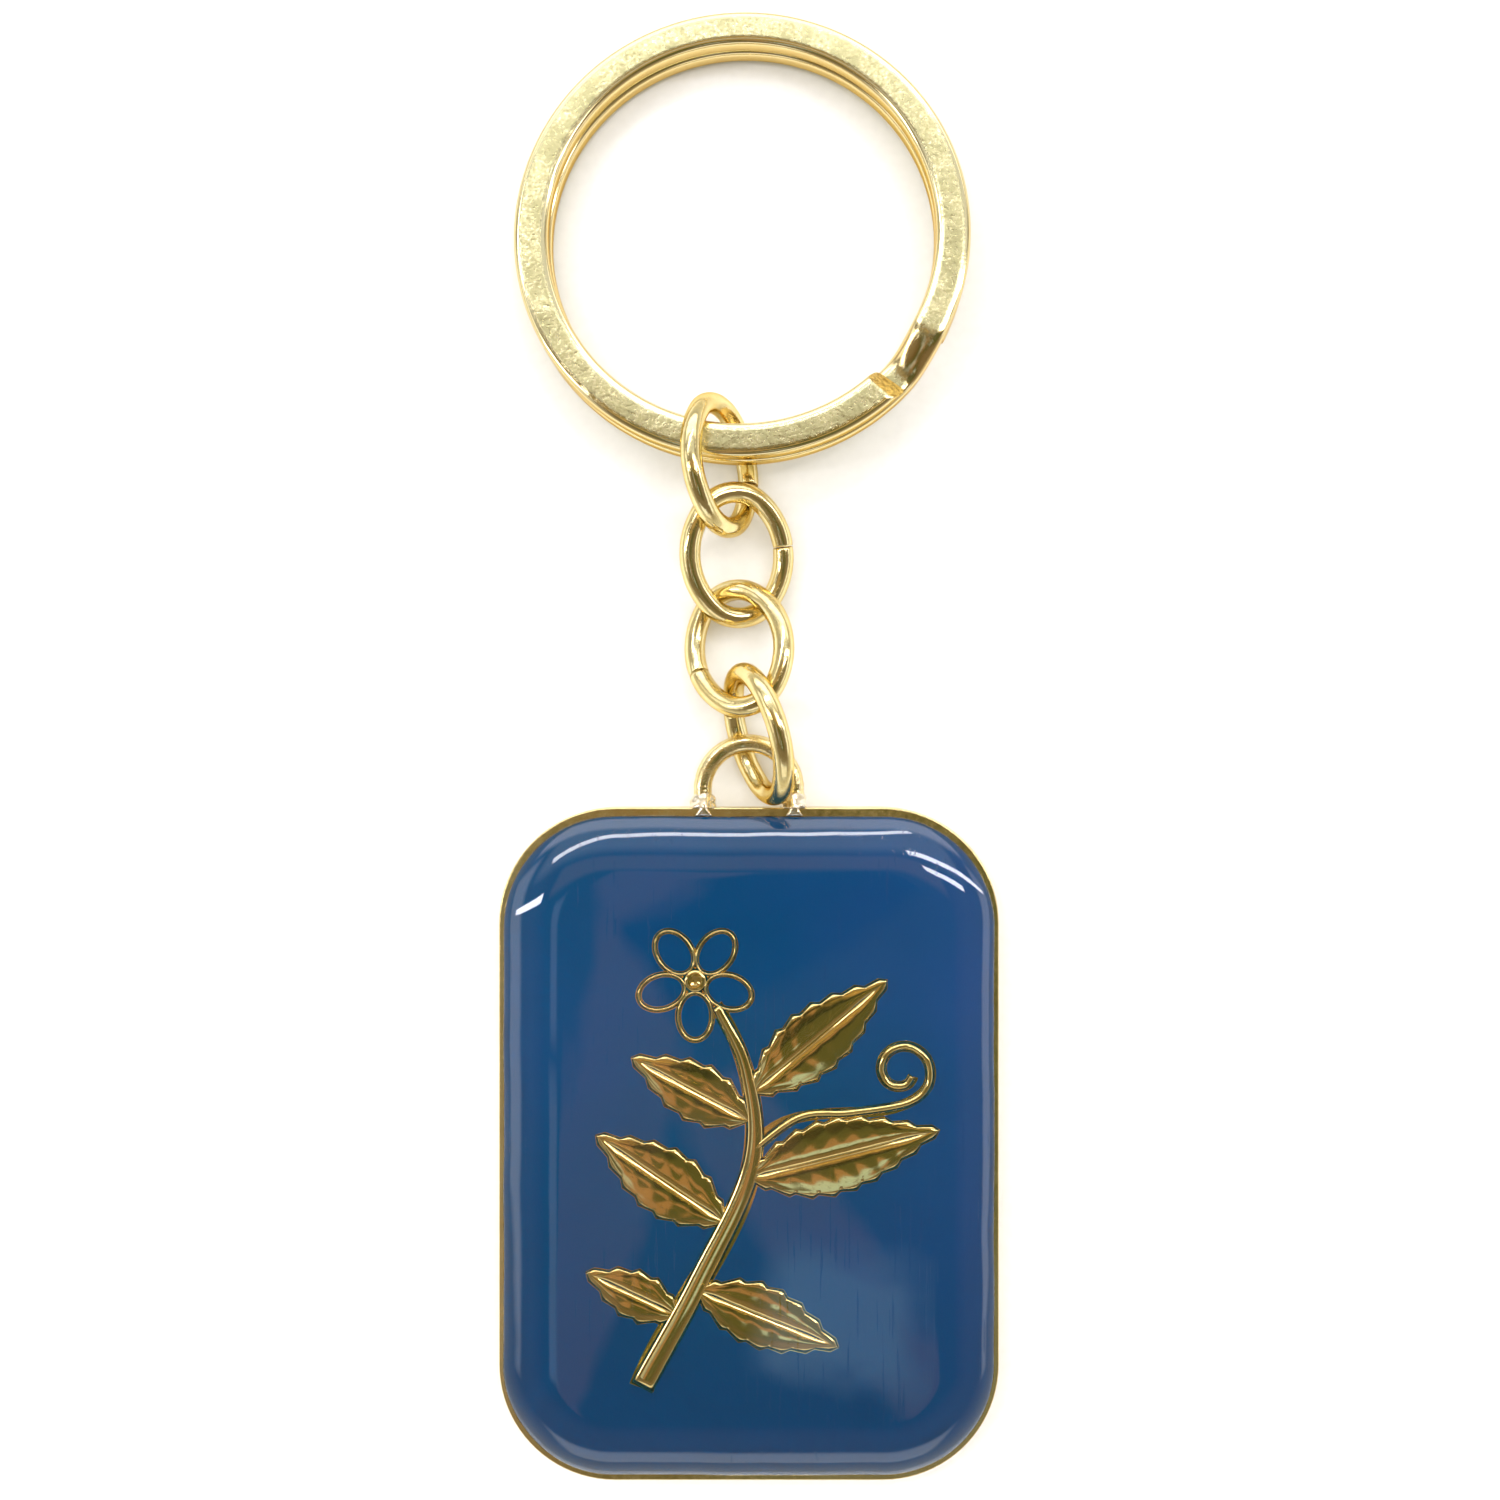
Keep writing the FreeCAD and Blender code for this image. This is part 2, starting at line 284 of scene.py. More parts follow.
def gold_wire_material():
    """Bright plating on round wire: shallow dents, tiny pits and a few duller patches."""
    material, shader = new_material("gold_wire")
    graph = Graph(material.node_tree)
    patches = graph.noise(900.0, 3.0)
    pits = graph.noise(9000.0, 2.0, 0.6)
    soft = graph.noise(260.0, 2.0)
    colour = graph.mix(graph.spread(patches, 0.35, 0.7, 0.0, 1.0), (0.91, 0.78, 0.42), (0.85, 0.68, 0.31))
    graph.link(colour, shader.inputs["Base Color"])
    graph.link(graph.spread(patches, 0.3, 0.75, 0.10, 0.24), shader.inputs["Roughness"])
    shader.inputs["Metallic"].default_value = 1.0
    shader.inputs["Specular Tint"].default_value = GOLD_EDGE_TINT
    dents = graph.noise(900.0, 3.0, 0.55, distortion=0.6)
    normal = graph.bump(soft, 0.6, 0.20 * MM)
    normal = graph.bump(dents, 0.55, 0.045 * MM, normal)
    graph.link(graph.bump(pits, 0.25, 0.008 * MM, normal), shader.inputs["Normal"])
    return material


def filed_gold_material():
    """Plating over a filed wire: duller than the links, with file marks round the wire."""
    material, shader = new_material("filed_gold")
    graph = Graph(material.node_tree)
    round_wire = graph.node("ShaderNodeMapping")
    round_wire.inputs["Scale"].default_value = (0.25, 1.0, 0.25)
    graph.link(graph.object_place(), round_wire.inputs["Vector"])
    marks = graph.noise(5200.0, 3.0, 0.6, vector=round_wire.outputs["Vector"])
    patches = graph.noise(1100.0, 2.0, 0.5)
    colour = graph.mix(graph.spread(patches, 0.35, 0.65, 0.0, 1.0), (0.95, 0.83, 0.50), (0.86, 0.70, 0.36))
    graph.link(colour, shader.inputs["Base Color"])
    graph.link(graph.spread(patches, 0.35, 0.65, 0.14, 0.28), shader.inputs["Roughness"])
    shader.inputs["Metallic"].default_value = 1.0
    shader.inputs["Specular Tint"].default_value = GOLD_EDGE_TINT
    normal = graph.bump(patches, 0.5, 0.06 * MM)
    graph.link(graph.bump(marks, 0.6, 0.03 * MM, normal), shader.inputs["Normal"])
    return material


def raw_end_material():
    """Cut end of a wire: dull, torn and more orange than the plating."""
    material, shader = new_material("raw_end")
    graph = Graph(material.node_tree)
    grain = graph.noise(4000.0, 4.0, 0.7)
    colour = graph.mix(graph.spread(grain, 0.40, 0.60, 0.0, 1.0), (0.98, 0.76, 0.26), (0.48, 0.29, 0.06))
    graph.link(colour, shader.inputs["Base Color"])
    shader.inputs["Metallic"].default_value = 1.0
    shader.inputs["Roughness"].default_value = 0.42
    graph.link(graph.bump(grain, 1.0, 0.09 * MM), shader.inputs["Normal"])
    return material


def gold_ring_material():
    """Barrelled flat wire: peened flat faces between polished round edges, with painted shade on the side
    walls and a painted reflection on the ramp.
    """
    material, shader = new_material("gold_ring")
    graph = Graph(material.node_tree)
    flat = graph.attribute("flat_face")
    grains = graph.noise(4200.0, 3.0, 0.65)
    dents = graph.noise(1050.0, 3.0, 0.62, distortion=0.8)
    stains = graph.noise(560.0, 4.0, 0.6)
    face = graph.mix(graph.spread(grains, 0.38, 0.66, 0.0, 1.0), (0.76, 0.69, 0.42), (0.46, 0.41, 0.20))
    face = graph.mix(graph.spread(stains, 0.44, 0.60, 0.0, 0.9), face, (0.47, 0.43, 0.23))
    # Painted shade: the side walls are a darker, more orange gold than the rest of the polished edge
    edge = graph.mix(graph.attribute("side_wall"), (0.93, 0.83, 0.50), (0.80, 0.60, 0.25))
    # Painted reflection: where the wire bends down the ramp, its gold is tinted darker orange
    edge = graph.mix(graph.attribute("ramp"), edge, (0.84, 0.64, 0.31))
    graph.link(graph.mix(flat, edge, face), shader.inputs["Base Color"])
    polish = 0.11
    extra = graph.math("SUBTRACT", graph.spread(grains, 0.3, 0.7, 0.22, 0.42), polish)
    graph.link(graph.math("ADD", graph.math("MULTIPLY", flat, extra), polish), shader.inputs["Roughness"])
    shader.inputs["Metallic"].default_value = 1.0
    shader.inputs["Specular Tint"].default_value = GOLD_EDGE_TINT
    height = graph.math("ADD", graph.math("MULTIPLY", grains, 0.5), dents)
    height = graph.math("MULTIPLY", height, graph.spread(flat, 0.0, 1.0, 0.08, 1.0))
    graph.link(graph.bump(height, 0.9, 0.05 * MM), shader.inputs["Normal"])
    return material


def gold_plate_material():
    """Plated cast tag: satin, slightly cloudy, with small casting marks."""
    material, shader = new_material("gold_plate")
    graph = Graph(material.node_tree)
    clouds = graph.noise(240.0, 3.0)
    marks = graph.noise(2600.0, 3.0, 0.6)
    colour = graph.mix(graph.spread(clouds, 0.35, 0.7, 0.0, 1.0), (0.88, 0.74, 0.40), (0.78, 0.62, 0.30))
    graph.link(colour, shader.inputs["Base Color"])
    graph.link(graph.spread(marks, 0.35, 0.7, 0.15, 0.26), shader.inputs["Roughness"])
    shader.inputs["Metallic"].default_value = 1.0
    graph.link(graph.bump(marks, 0.12, 0.008 * MM), shader.inputs["Normal"])
    return material


def gold_motif_material():
    """Mirror-polished metal, so nearly flat that only a slight waviness bends what it reflects."""
    material, shader = new_material("gold_motif")
    graph = Graph(material.node_tree)
    waves = graph.noise(120.0, 1.0, 0.4)
    specks = graph.noise(5200.0, 2.0, 0.6)
    colour = graph.mix(graph.spread(specks, 0.6, 0.72, 0.0, 0.6), (0.93, 0.70, 0.28), (0.62, 0.42, 0.15))
    graph.link(colour, shader.inputs["Base Color"])
    graph.link(graph.spread(specks, 0.55, 0.8, 0.05, 0.16), shader.inputs["Roughness"])
    shader.inputs["Metallic"].default_value = 1.0
    graph.link(graph.bump(waves, 0.5, 0.25 * MM), shader.inputs["Normal"])
    return material


def enamel_material():
    """Deep blue enamel with a few bright specks: painted reflection makes it lighter and more violet to the
    right, painted shade makes it darker towards the foot.
    """
    material, shader = new_material("blue_enamel")
    graph = Graph(material.node_tree)
    clouds = graph.noise(75.0, 2.0, 0.45)
    split = graph.node("ShaderNodeSeparateXYZ")
    graph.link(graph.object_place(), split.inputs["Vector"])
    # Painted reflection: lighter and more violet towards the right, mixed with random clouds of tone
    right = graph.spread(split.outputs["X"], 0.1 * TAG_TOP, 0.65 * TAG_TOP, 0.0, 0.6)
    violet = graph.math("ADD", right, graph.spread(clouds, 0.38, 0.68, 0.0, 0.4))
    colour = graph.mix(violet, (0.003, 0.152, 0.410), (0.028, 0.155, 0.490))
    # Painted shade: darker towards the foot of the tag
    foot = graph.spread(split.outputs["Y"], 0.4 * TAG_TOP, -0.9 * TAG_TOP, 0.0, 1.0)
    colour = graph.mix(foot, colour, (0.003, 0.104, 0.310))
    cells = graph.node("ShaderNodeTexVoronoi")
    cells.inputs["Scale"].default_value = 230.0
    graph.link(graph.object_place(), cells.inputs["Vector"])
    speck = graph.spread(cells.outputs["Distance"], 0.012, 0.020, 1.0, 0.0)
    chance = graph.node("ShaderNodeSeparateXYZ")
    graph.link(cells.outputs["Color"], chance.inputs["Vector"])
    speck = graph.math("MULTIPLY", speck, graph.math("GREATER_THAN", chance.outputs["X"], 0.72))
    colour = graph.mix(graph.math("MULTIPLY", speck, 0.7), colour, (0.30, 0.50, 0.70))
    graph.link(colour, shader.inputs["Base Color"])
    shader.inputs["Roughness"].default_value = 0.35
    shader.inputs["Specular IOR Level"].default_value = 0.0
    return material


def resin_material():
    """Clear cast resin with faint scratches and ripples on its skin."""
    material, shader = new_material("clear_resin")
    graph = Graph(material.node_tree)
    ripple = graph.noise(160.0, 2.0, 0.5)
    scuff = graph.noise(3000.0, 2.0, 0.5)
    shader.inputs["Base Color"].default_value = (0.985, 0.99, 1.0, 1.0)
    shader.inputs["Transmission Weight"].default_value = 1.0
    shader.inputs["IOR"].default_value = 1.5
    graph.link(graph.spread(scuff, 0.62, 0.8, 0.012, 0.06), shader.inputs["Roughness"])
    stretched = graph.node("ShaderNodeMapping")
    stretched.inputs["Rotation"].default_value = (0.0, 0.0, math.radians(38.0))
    stretched.inputs["Scale"].default_value = (1.0, 0.035, 1.0)
    graph.link(graph.object_place(), stretched.inputs["Vector"])
    hairs = graph.noise(5200.0, 1.0, 0.4, vector=stretched.outputs["Vector"])
    where = graph.spread(graph.noise(150.0, 1.0, 0.4), 0.48, 0.62, 0.0, 1.0)
    scratches = graph.math("MULTIPLY", graph.spread(hairs, 0.66, 0.70, 0.0, 1.0), where)
    normal = graph.bump(ripple, 0.35, 0.05 * MM)
    normal = graph.bump(scratches, 0.35, -0.004 * MM, normal)
    shader.inputs["Coat Weight"].default_value = 1.0
    graph.link(graph.spread(scratches, 0.0, 1.0, 0.015, 0.30), shader.inputs["Coat Roughness"])
    shader.inputs["Coat IOR"].default_value = 1.5
    graph.link(normal, shader.inputs["Coat Normal"])
    graph.link(normal, shader.inputs["Normal"])
    return material


def solder_material():
    """Plated solder: bright but lumpy."""
    material, shader = new_material("solder")
    graph = Graph(material.node_tree)
    lumps = graph.noise(1600.0, 3.0, 0.6)
    colour = graph.mix(graph.spread(lumps, 0.4, 0.65, 0.0, 1.0), (0.94, 0.88, 0.74), (0.84, 0.70, 0.50))
    graph.link(colour, shader.inputs["Base Color"])
    graph.link(graph.spread(lumps, 0.3, 0.7, 0.14, 0.32), shader.inputs["Roughness"])
    shader.inputs["Metallic"].default_value = 1.0
    graph.link(graph.bump(lumps, 0.6, 0.08 * MM), shader.inputs["Normal"])
    return material


GOLD_WIRE = gold_wire_material()
FILED_GOLD = filed_gold_material()
RAW_END = raw_end_material()
GOLD_RING = gold_ring_material()
GOLD_PLATE = gold_plate_material()
GOLD_MOTIF = gold_motif_material()
BLUE_ENAMEL = enamel_material()
CLEAR_RESIN = resin_material()
SOLDER = solder_material()


def finish_piece(piece, materials, body, slot, *nodes):
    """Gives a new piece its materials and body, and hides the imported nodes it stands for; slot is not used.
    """
    for material in materials:
        piece.data.materials.append(material)
    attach(piece, body)
    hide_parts(*nodes)
    return piece


# ---------------------------------------------------------------- chain links

def own_axes(node):
    """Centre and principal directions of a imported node, from its surface: long, wide and thin."""
    mesh = frame["nodes"][node].data
    mesh.calc_loop_triangles()
    corners = np.array([[mesh.vertices[v].co[:] for v in t.vertices] for t in mesh.loop_triangles])
    middle = corners.mean(axis=1)
    area = np.linalg.norm(np.cross(corners[:, 1] - corners[:, 0], corners[:, 2] - corners[:, 0]), axis=1)
    centre = (middle * area[:, None]).sum(0) / area.sum()
    offset = middle - centre
    spread = (offset[:, :, None] * offset[:, None, :] * area[:, None, None]).sum(0)
    values, vectors = np.linalg.eigh(spread)
    thin, wide, long = vectors[:, 0], vectors[:, 1], vectors[:, 2]
    if long[1] < 0:
        long = -long
    if wide[0] < 0:
        wide = -wide
    thin = np.cross(wide, long)
    points = np.array([v.co[:] for v in mesh.vertices])
    spans = []
    for axis in (long, wide, thin):
        along = points @ axis
        spans.append(along.max() - along.min())
        centre = centre + axis * ((along.max() + along.min()) / 2 - centre @ axis)
    return centre, (long, wide, thin), spans


def oval_sides(half_width, half_length):
    """Radius and centre offset of the long sides of a four-arc oval, and the offset of its end arcs."""
    end_y = half_length - LINK_END_RADIUS
    square = half_width ** 2 + end_y ** 2 - LINK_END_RADIUS ** 2
    side_radius = square / (2 * (half_width - LINK_END_RADIUS))
    return side_radius, side_radius - half_width, end_y


def oval_line(half_width, half_length, angle):
    """Point and outward direction on a four-arc oval, by the angle of its outward direction."""
    side_radius, side_x, end_y = oval_sides(half_width, half_length)
    change = math.atan2(end_y, side_x)
    out_x, out_y = math.cos(angle), math.sin(angle)
    if abs(out_y) < math.sin(change):
        x = side_radius * out_x - math.copysign(side_x, out_x)
        y = side_radius * out_y
    else:
        x = LINK_END_RADIUS * out_x
        y = math.copysign(end_y, out_y) + LINK_END_RADIUS * out_y
    return x, y, out_x, out_y


def make_link(number):
    """One oval link with a butt joint whose ends are slightly out of line."""
    node = "chain_link_%d" % number
    centre, (long, wide, thin), spans = own_axes(node)
    wire = spans[2]
    half_length = (spans[0] - wire) / 2
    half_width = (spans[1] - wire) / 2
    side, along = LINK_JOINTS[number]
    side_radius = oval_sides(half_width, half_length)[0]
    joint_angle = math.asin(along * MM / side_radius)
    if side < 0:
        joint_angle = math.pi - joint_angle
    half_gap = JOINT_GAP / 2 / side_radius
    rings = []
    for step in range(LINK_STEPS):
        share = step / (LINK_STEPS - 1)
        angle = joint_angle + half_gap + share * (FULL_TURN - 2 * half_gap)
        x, y, out_x, out_y = oval_line(half_width, half_length, angle)
        to_end = min(share, 1 - share) * (LINK_STEPS - 1)
        pinch = 1 - JOINT_PINCH * math.exp(-to_end / 1.4)
        slip = JOINT_SLIP * math.exp(-to_end / 7.0) * (1 if share < 0.5 else -1)
        ring = []
        for k in range(WIRE_SIDES):
            turn = FULL_TURN * k / WIRE_SIDES
            radius = wire / 2 * pinch
            across = radius * math.cos(turn)
            lift = radius * math.sin(turn) + slip
            local = wide * (x + out_x * across) + long * (y + out_y * across) + thin * lift
            point = centre + local
            dent = WIRE_DENT * wobble(point, WIRE_DENT_SIZE, number)
            ring.append(point + (wide * out_x + long * out_y) * dent * math.cos(turn))
        rings.append(ring)
    link = tube("link_%d_wire" % number, rings, cap_material=True)
    return finish_piece(link, [GOLD_WIRE, RAW_END], "link_%d" % number, "gold_wire", node)


for number in range(1, 5):
    make_link(number)


# ---------------------------------------------------------------- split ring

def ring_section():
    """Flat-wire section with round edges, as (outward, up, on a flat face, on a side wall) points."""
    half_band = RING_BAND / 2
    half_turn = RING_TURN / 2
    r = RING_EDGE_ROUND
    points = []
    for corner, (sx, sz) in enumerate(((1, 1), (-1, 1), (-1, -1), (1, -1))):
        for k in range(CORNER_STEPS):
            turn = math.radians(90.0 * corner + 90.0 * k / (CORNER_STEPS - 1))
            x = sx * (half_band - r) + r * math.cos(turn)
            z = sz * (half_turn - RING_CROWN - r) + r * math.sin(turn)
            points.append((x, z, 0.0, abs(math.cos(turn)) ** 4))
        if corner in (0, 2):
            for k in range(1, FACE_STEPS):
                share = k / FACE_STEPS
                x = sx * (half_band - r) * (1 - 2 * share)
                z = sz * (half_turn - RING_CROWN * (1 - 2 * share) ** 2)
                points.append((x, z, 1.0, 0.0))
    return points


def make_ring():
    """Two turns of flat wire that change level over a short ramp."""
    joint = next(j for j in frame["joints"] if j["name"] == "ring_turn")
    centre = np.array(joint["pos_m"])
    axis = Vector(joint["axis"]).normalized()
    across = (Vector((1, 0, 0)) - axis * axis.x).normalized()
    forward = axis.cross(across)
    across, forward, axis = np.array(across), np.array(forward), np.array(axis)
    start = RAMP_END - FULL_TURN + WIRE_END_GAP
    finish = RAMP_START + FULL_TURN - WIRE_END_GAP
    level = (RING_TURN + RING_SLIT) / 2
    middle = RING_OUTER_RADIUS - RING_BAND / 2
    section = ring_section()
    rings = []
    flat = []
    walls = []
    ramp = []
    for step in range(RING_STEPS):
        share = step / (RING_STEPS - 1)
        ring = []
        for x, z, flatness, wall in section:
            lean = END_LEAN * (0.5 + z / RING_TURN) + END_SKEW * (0.5 - x / RING_BAND)
            angle = start + (finish - start - lean / middle) * share
            climb = min(max((angle - RAMP_START) / (RAMP_END - RAMP_START), 0.0), 1.0)
            rise = climb * climb * (3 - 2 * climb)
            drift = (1 - rise) * COIL_DRIFT * min(share * DRIFT_EASE, 1.0)
            base = centre + axis * level * (2 * rise - 1) + across * drift - forward * drift * 0.5
            out = across * math.cos(angle) + forward * math.sin(angle)
            bend = 4 * climb * (1 - climb)
            pressed = RAMP_CROWN * bend * (2 * x / RING_BAND) ** 2 * (0.5 + z / RING_TURN)
            ring.append(base + out * (middle + x) + axis * (z - pressed))
            flat.append(flatness * (1 - bend))
            walls.append(wall)
            ramp.append(bend)
        rings.append(ring)
    ring = tube("split_ring_wire", rings, cap_material=True)
    set_attribute(ring, "flat_face", flat)
    set_attribute(ring, "side_wall", walls)
    set_attribute(ring, "ramp", ramp)
    return finish_piece(ring, [GOLD_RING, RAW_END], "ring", "gold_ring", "split_ring")


make_ring()


# ---------------------------------------------------------------- wire arch and solder

def make_arch():
    """The arch on the tag's top edge, with file marks on the sides of its legs."""
    arch_low, arch_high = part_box("hanging_loop")
    radius = (arch_high.x - arch_low.x) / 2 - ARCH_WIRE / 2
    centre_y = arch_high.y - ARCH_WIRE / 2 - radius
    level = (arch_low.z + arch_high.z) / 2
    leg = centre_y - TAG_TOP
    line = []
    for k in range(ARCH_LEG_STEPS):
        line.append((radius, TAG_TOP + leg * k / ARCH_LEG_STEPS, 1.0, 0.0))
    for k in range(ARCH_BOW_STEPS + 1):
        turn = math.pi * k / ARCH_BOW_STEPS
        out_x, out_y = math.cos(turn), math.sin(turn)
        line.append((radius * out_x, centre_y + radius * out_y, out_x, out_y))
    for k in range(1, ARCH_LEG_STEPS + 1):
        line.append((-radius, centre_y - leg * k / ARCH_LEG_STEPS, -1.0, 0.0))
    rings = []
    for index, (x, y, out_x, out_y) in enumerate(line):
        marked = max(0.0, 1 - (y - TAG_TOP) / FILED_HEIGHT)
        stroke = 0.5 + 0.5 * math.sin(index * 1.9)
        tooth = FILE_MARK * marked * stroke * abs(wobble((x, y, 0), 0.35 * MM, 3) * 2)
        ring = []
        for k in range(WIRE_SIDES):
            turn = FULL_TURN * k / WIRE_SIDES
            side = max(0.0, math.cos(turn)) ** 2 + max(0.0, -math.cos(turn)) ** 2 * 0.6
            r = ARCH_WIRE / 2 - tooth * side + ARCH_SWELL * max(0.0, math.cos(turn))
            across = r * math.cos(turn)
            ring.append((x + out_x * across, y + out_y * across, level + r * math.sin(turn)))
        rings.append(ring)
    arch = tube("arch_wire", rings)
    return finish_piece(arch, [FILED_GOLD], "tag", "gold_wire", "hanging_loop")


make_arch()


def make_solder(node, seed):
    """Lumpy bead round one foot of the arch, with a flat toe that laps over the rim."""
    low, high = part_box(node)
    centre_x = (low.x + high.x) / 2
    arch_low, arch_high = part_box("hanging_loop")
    level = (arch_low.z + arch_high.z) / 2
    rows = 16
    sides = 40
    rings = []
    for row in range(rows + 1):
        share = row / rows
        y = TAG_TOP - 0.02 * MM + share * (high.y - TAG_TOP)
        radius = BEAD_FOOT_RADIUS + (BEAD_NECK_RADIUS - BEAD_FOOT_RADIUS) * share
        radius *= 1 - 0.12 * share ** 6
        ring = []
        for k in range(sides):
            turn = FULL_TURN * k / sides
            x = centre_x + radius * math.cos(turn)
            z = level + radius * math.sin(turn)
            lump = 1 + BEAD_LUMP * wobble((x, y, z), BEAD_LUMP_SIZE, seed)
            ring.append((centre_x + (x - centre_x) * lump, y, level + (z - level) * lump))
        rings.append(ring)
    bead = tube(node + "_bead", rings)
    finish_piece(bead, [SOLDER], "tag", "solder", node)
    toe_rows = 8
    toe_columns = 10
    top = []
    under = []
    for row in range(toe_rows + 1):
        share = row / toe_rows
        y = TAG_TOP + 0.05 * MM - share * (TAG_TOP + 0.05 * MM - low.y)
        half = TOE_NECK + TOE_SPREAD * share ** 1.6
        for column in range(toe_columns + 1):
            across = 2 * column / toe_columns - 1
            x = centre_x + half * across
            edge = (1 - across ** 4) * (1 - share ** 5)
            bulge = TOE_BULGE * edge + TOE_EDGE
            z = PLATE_TOP + bulge * (1 + 0.3 * wobble((x, y, 0), 0.4 * MM, seed + 5))
            top.append((x, y, z))
            under.append((x, y, PLATE_TOP - 0.02 * MM))
    columns = toe_columns + 1
    count = len(top)
    faces = []
    for row in range(toe_rows):
        for column in range(toe_columns):
            a = row * columns + column
            faces.append((a, a + 1, a + columns + 1, a + columns))
            faces.append((count + a, count + a + columns, count + a + columns + 1, count + a + 1))
    border = list(range(columns))
    border += [row * columns + toe_columns for row in range(1, toe_rows + 1)]
    border += [toe_rows * columns + column for column in range(toe_columns - 1, -1, -1)]
    border += [row * columns for row in range(toe_rows - 1, 0, -1)]
    for index, a in enumerate(border):
        b = border[(index + 1) % len(border)]
        faces.append((a, count + a, count + b, b))
    toe = new_object(node + "_toe", top + under, faces)
    toe.data.materials.append(SOLDER)
    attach(toe, "tag")


make_solder("solder_left", 1)
make_solder("solder_right", 2)


# ---------------------------------------------------------------- resin dome

def rounded_outline(low, high, corner, count):
    """Evenly spaced points along a rounded rectangle, with the outward direction at each."""
    width = high.x - low.x - 2 * corner
    height = high.y - low.y - 2 * corner
    quarter = math.pi * corner / 2
    stretches = [height, quarter, width, quarter, height, quarter, width, quarter]
    total = sum(stretches)
    starts = [
        ((high.x, low.y + corner), 0.0),
        ((high.x - corner, high.y - corner), 0.0),
        ((high.x - corner, high.y), 90.0),
        ((low.x + corner, high.y - corner), 90.0),
        ((low.x, high.y - corner), 180.0),
        ((low.x + corner, low.y + corner), 180.0),
        ((low.x + corner, low.y), 270.0),
        ((high.x - corner, low.y + corner), 270.0),
    ]
    points = []
    for k in range(count):
        place = total * k / count
        index = 0
        while place > stretches[index]:
            place -= stretches[index]
            index += 1
        (x, y), angle = starts[index]
        out = math.radians(angle)
        if index % 2:
            out += place / corner
            x += corner * math.cos(out)
            y += corner * math.sin(out)
        else:
            along = out + math.pi / 2
            x += place * math.cos(along)
            y += place * math.sin(along)
        points.append((x, y, math.cos(out), math.sin(out)))
    return points


def make_dome():
    """Resin that swells up from a slightly wavy edge to a nearly flat middle."""
    grow = Vector((RESIN_OVER_RIM, RESIN_OVER_RIM, 0))
    outline = rounded_outline(dome_low - grow, dome_high + grow, RESIN_CORNER + RESIN_OVER_RIM, DOME_SIDES)
    centre = np.array(((dome_low.x + dome_high.x) / 2, (dome_low.y + dome_high.y) / 2))
    edge_z = PLATE_TOP - 0.005 * MM
    height = dome_high.z - edge_z - DOME_CROWN
    rings = []
    rings.append([(x, y, ENAMEL_TOP - SUNK) for x, y, ox, oy in outline])
    for k in range(DOME_BAND_RINGS + 1):
        share = (k / DOME_BAND_RINGS) ** 1.35
        inset = share * DOME_BAND
        rise = (1 - (1 - share) ** 2.3) ** 0.85
        ring = []
        for x, y, ox, oy in outline:
            wave = EDGE_WAVE * (wobble((x, y, 0), EDGE_WAVE_SIZE, 4) - 0.4) * (1 - share)
            px = x - ox * (inset - wave)
            py = y - oy * (inset - wave)
            ripple = SKIN_RIPPLE * wobble((px, py, 0), SKIN_RIPPLE_SIZE, 8) * rise
            ring.append((px, py, edge_z + height * rise + ripple))
        rings.append(ring)
    flat_edge = rings[-1]
    for k in range(1, DOME_FLAT_RINGS):
        share = k / DOME_FLAT_RINGS
        ring = []
        for x, y, z in flat_edge:
            px = centre[0] + (x - centre[0]) * (1 - share)
            py = centre[1] + (y - centre[1]) * (1 - share)
            crown = DOME_CROWN * (1 - (1 - share) ** 2)
            ripple = SKIN_RIPPLE * wobble((px, py, 0), SKIN_RIPPLE_SIZE, 8)
            ring.append((px, py, edge_z + height + crown + ripple))
        rings.append(ring)
    rings = np.array(rings)
    count, around = rings.shape[:2]
    points = [tuple(p) for p in rings.reshape(-1, 3)]
    faces = []
    for i in range(count - 1):
        for k in range(around):
            n = (k + 1) % around
            faces.append((i * around + k, i * around + n, (i + 1) * around + n, (i + 1) * around + k))
    points.append((centre[0], centre[1], dome_high.z))
    tip = len(points) - 1
    last = (count - 1) * around
    for k in range(around):
        faces.append((last + k, last + (k + 1) % around, tip))
    points.append((centre[0], centre[1], ENAMEL_TOP - SUNK))
    bottom = len(points) - 1
    for k in range(around):
        faces.append(((k + 1) % around, k, bottom))
    dome = new_object("resin_cap", points, faces)
    return finish_piece(dome, [CLEAR_RESIN], "tag", "clear_resin", "resin_dome")


make_dome()


# ---------------------------------------------------------------- motif

# The sprig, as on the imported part: places in millimetres from the middle of the tag
STEM = [((-7.2, -16.2), 1.7), ((-3.3, -9.0), 1.6), ((0.2, -1.2), 1.4), ((-0.2, 5.0), 1.1), ((-2.2, 9.4), 0.9)]
# Leaves: base point, direction in degrees, length, width, number of teeth along a side
LEAVES = [
    ((-4.6, -11.4), 155.0, 7.0, 3.1, 5),
    ((-3.6, -9.6), -22.0, 10.4, 4.0, 7),
    ((-1.5, -5.2), 146.0, 10.6, 4.3, 7),
    ((-0.2, -2.2), 14.0, 13.4, 4.8, 9),
    ((0.2, 1.6), 152.0, 9.2, 3.7, 6),
    ((0.1, 3.4), 40.0, 12.0, 4.2, 8),
]
LEAF_TOOTH = 0.28
LEAF_TEETH_LEAN = 0.7
LEAF_FULLNESS = 0.85
BLOSSOM_CENTRE = (-3.6, 11.0)
BLOSSOM_PETALS = 5
BLOSSOM_REACH = 2.35
BLOSSOM_TURN = 54.0
PETAL_LENGTH = 3.6
PETAL_WIDTH = 2.7
PETAL_FRAME = 0.42
BLOSSOM_EYE = 0.95
TENDRIL_RUN = [(0.1, -0.4), (3.4, 1.9), (6.8, 2.2)]
TENDRIL_CENTRE = (10.2, 5.0)
